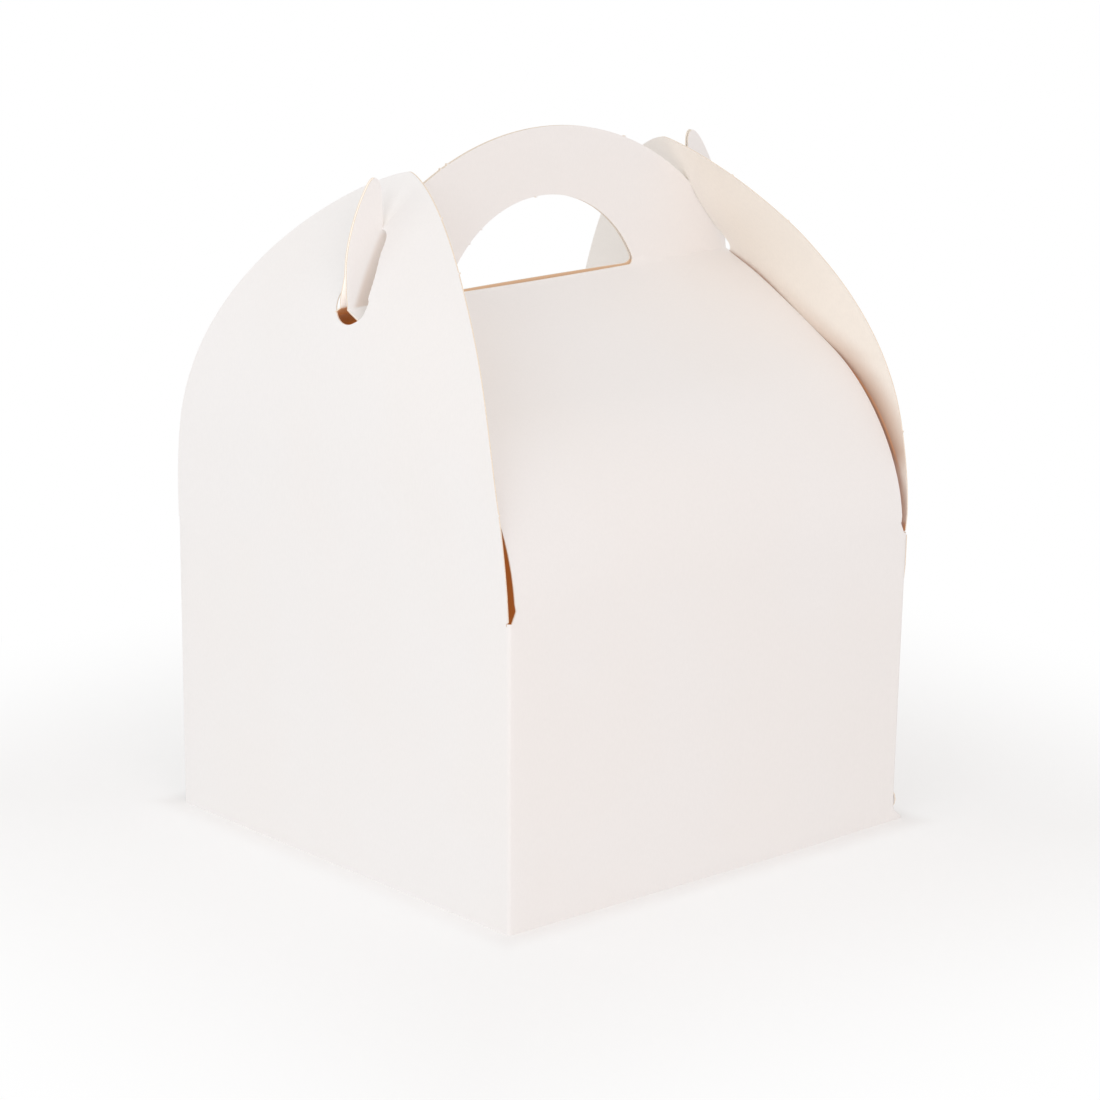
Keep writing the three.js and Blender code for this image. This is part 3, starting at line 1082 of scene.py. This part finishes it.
def make_flap(name, side, push, setback, slot):
    """A side flap's card, on the left (-1) or right (1), bent over the hooks, its foot set on the cut top
    of the side wall.
    """
    s = sizes()
    half = s.width / 2
    bottom = s.wall - 1 * MM
    deselect_all()
    bpy.ops.mesh.primitive_grid_add(x_subdivisions=1, y_subdivisions=72, size=1)
    flap = bpy.context.object
    flap.scale = (1 * MM, s.depth, 1)
    flap.name = f"{name}_card"
    flap.data.name = flap.name
    bpy.ops.object.transform_apply(location=True, rotation=True, scale=True)
    edit(flap)
    bpy.ops.mesh.select_all(action="SELECT")
    bpy.ops.transform.rotate(value=math.pi / 2, orient_axis="Y", center_override=(0, 0, 0))
    bpy.ops.transform.translate(value=(0, 0, bottom))
    leave_edit()
    reach = max(v.co.z for v in flap.data.vertices)
    edit(flap)
    pick(flap, "edges", lambda edge: all(abs(v.co.z - reach) < EPSILON for v in edge.verts))
    extrude_steps((0, 0, 1.8 * MM), 6)
    extrude_steps((0, 0, 87 * MM), 34)
    extrude_steps((0, 0, 64 * MM), 58)
    slice_all(spread(-12 * MM, 3 * MM, 0.7 * MM), 1)
    leave_edit()

    def bend(place):
        drift = corner_drift(Vector((side * half, place.y, place.z)))
        place.x = side * (flap_stand(place.y, place.z, push) + flap_dimple(place.y, place.z))
        return place + drift

    reshape(flap, bend)
    if flap.data.polygons[0].normal.x * side < 0:
        flap.data.flip_normals()
    give_board(flap)
    thicken(flap)
    cut_by(flap, cutter(flap_outline(setback), "x", s.width), "INTERSECT")
    cut_by(flap, cutter(slot_outline(slot), "x", s.width), "DIFFERENCE")
    finish_card(flap)
    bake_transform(flap)
    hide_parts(name)


# Stage

def place_camera():
    st = bpy.context.scene.stage_settings
    data = bpy.data.cameras.new("camera")
    camera = bpy.data.objects.new("camera", data)
    bpy.context.collection.objects.link(camera)
    data.lens = st.lens
    data.sensor_width = 36
    back = Vector((
        math.sin(st.azimuth) * math.cos(st.elevation),
        -math.cos(st.azimuth) * math.cos(st.elevation),
        math.sin(st.elevation)))
    right = (-back).cross(Vector((0, 0, 1))).normalized()
    up = right.cross(-back)
    turn = Matrix((right, up, back)).transposed() @ Matrix.Rotation(st.roll, 3, "Z")
    camera.matrix_world = Matrix.Translation(
        back * st.distance + right * st.aim_right + up * st.aim_up) @ turn.to_4x4()
    data.clip_start = 0.1
    data.clip_end = 20
    bpy.context.scene.camera = camera


def lamp(name, place, size, power, colour):
    data = bpy.data.lights.new(name, "AREA")
    data.shape = "SQUARE"
    data.size = size
    data.energy = power
    data.color = colour
    light = bpy.data.objects.new(name, data)
    bpy.context.collection.objects.link(light)
    light.location = place
    light.rotation_euler = (LAMP_AIM - light.location).to_track_quat("-Z", "Y").to_euler()


def light_stage():
    st = bpy.context.scene.stage_settings
    scene = bpy.context.scene
    scene.view_settings.view_transform = "Standard"
    world = scene.world or bpy.data.worlds.new("room")
    scene.world = world
    world.use_nodes = True
    tree = world.node_tree
    room = tree.nodes["Background"]
    room.inputs["Color"].default_value = ROOM_COLOUR
    room.inputs["Strength"].default_value = st.world
    paper = tree.nodes.new("ShaderNodeBackground")
    paper.inputs["Strength"].default_value = 1
    paper.inputs["Color"].default_value = PAPER_WHITE
    path = tree.nodes.new("ShaderNodeLightPath")
    either = tree.nodes.new("ShaderNodeMath")
    either.operation = "MAXIMUM"
    choose = tree.nodes.new("ShaderNodeMixShader")
    tree.links.new(path.outputs["Is Camera Ray"], either.inputs[0])
    tree.links.new(path.outputs["Is Glossy Ray"], either.inputs[1])
    tree.links.new(either.outputs[0], choose.inputs[0])
    tree.links.new(room.outputs[0], choose.inputs[1])
    tree.links.new(paper.outputs[0], choose.inputs[2])
    tree.links.new(choose.outputs[0], tree.nodes["World Output"].inputs["Surface"])
    for name, setting, place, size, colour in LAMPS:
        lamp(name, place, size, getattr(st, setting), colour)


def lay_floor():
    """A wide white floor that keeps the box's shadow and fades into the background."""
    deselect_all()
    bpy.ops.mesh.primitive_circle_add(
        vertices=96, radius=FLOOR_RADIUS, fill_type="NGON", location=(0, 0, 0))
    floor = bpy.context.object
    floor.name = "floor"
    shader = Shader("white floor")
    shader.surface.inputs["Base Color"].default_value = (0.95, 0.95, 0.95, 1)
    shader.surface.inputs["Roughness"].default_value = 0.95
    shader.surface.inputs["Specular IOR Level"].default_value = 0
    path = shader.node("ShaderNodeLightPath", {}, {}, "Is Camera Ray")
    glossy = shader.node("ShaderNodeLightPath", {}, {}, "Is Glossy Ray")
    clear = shader.node("ShaderNodeLightPath", {}, {}, "Is Transmission Ray")
    seen = path.larger(glossy).larger(clear)
    x, y = shader.part("X"), shader.part("Y")
    away = x.absolute().larger(y.absolute()) - sizes().width / 2
    at_box, round_box = away.between(1 * MM, 14 * MM), away.between(20 * MM, 240 * MM)
    white = at_box * 0.42 + round_box * 0.58
    paper = shader.node("ShaderNodeEmission", {}, {"Color": PAPER_WHITE, "Strength": 1.0})
    lit = Socket(shader, shader.surface.outputs[0])
    shown = shader.node("ShaderNodeMixShader", {}, {0: seen * white, 1: lit, 2: paper})
    shader.tree.links.new(shown.output, shader.tree.nodes["Material Output"].inputs["Surface"])
    floor.data.materials.append(shader.material)


class CARTON_OT_camera(bpy.types.Operator):
    """Place the camera"""

    bl_idname = "carton.camera"
    bl_label = "Camera"

    def execute(self, context):
        place_camera()
        return {"FINISHED"}


class CARTON_OT_sheet(bpy.types.Operator):
    """Fold the walls, the curved panels and the handle from one sheet"""

    bl_idname = "carton.sheet"
    bl_label = "Walls, Panels and Handle"

    def execute(self, context):
        make_sheet()
        return {"FINISHED"}


class CARTON_OT_bottom(bpy.types.Operator):
    """Lock the bottom flaps into each other and glue the sheet's end"""

    bl_idname = "carton.bottom"
    bl_label = "Bottom Flaps"

    def execute(self, context):
        bottom_flaps()
        make_seam()
        return {"FINISHED"}


class CARTON_OT_flaps(bpy.types.Operator):
    """Curve the side flaps over the hooks of the handle"""

    bl_idname = "carton.flaps"
    bl_label = "Side Flaps"

    def execute(self, context):
        make_flap("side_flap_left", -1, LEFT_FLAP_PUSH, LEFT_FLAP_SETBACK, LEFT_SLOT)
        make_flap("side_flap_right", 1, RIGHT_FLAP_PUSH, 0, RIGHT_SLOT)
        return {"FINISHED"}


class CARTON_OT_stage(bpy.types.Operator):
    """Lay the floor and set the light"""

    bl_idname = "carton.stage"
    bl_label = "Floor and Light"

    def execute(self, context):
        lay_floor()
        light_stage()
        return {"FINISHED"}


OPERATORS = (CARTON_OT_camera, CARTON_OT_sheet, CARTON_OT_bottom, CARTON_OT_flaps, CARTON_OT_stage)


class CARTON_PT_panel(bpy.types.Panel):
    """Steps of the carton, in the order of its making"""

    bl_idname = "CARTON_PT_panel"
    bl_label = "Cake Carton"
    bl_space_type = "VIEW_3D"
    bl_region_type = "UI"
    bl_category = "Carton"

    def draw(self, context):
        for operator in OPERATORS:
            self.layout.operator(operator.bl_idname)
        scene = context.scene
        for group in (scene.carton_sizes, scene.carton_colours, scene.stage_settings):
            for name in group.__annotations__:
                self.layout.prop(group, name)


CLASSES = (CartonSizes, CartonColours, StageSettings, *OPERATORS, CARTON_PT_panel)


def register():
    for item in CLASSES:
        bpy.utils.register_class(item)
    bpy.types.Scene.carton_sizes = bpy.props.PointerProperty(type=CartonSizes)
    bpy.types.Scene.carton_colours = bpy.props.PointerProperty(type=CartonColours)
    bpy.types.Scene.stage_settings = bpy.props.PointerProperty(type=StageSettings)


def unregister():
    del bpy.types.Scene.stage_settings
    del bpy.types.Scene.carton_colours
    del bpy.types.Scene.carton_sizes
    for item in reversed(CLASSES):
        bpy.utils.unregister_class(item)


def main():
    register()
    for operator in OPERATORS:
        group, name = operator.bl_idname.split(".")
        getattr(getattr(bpy.ops, group), name)()


if __name__ == "__main__":
    main()
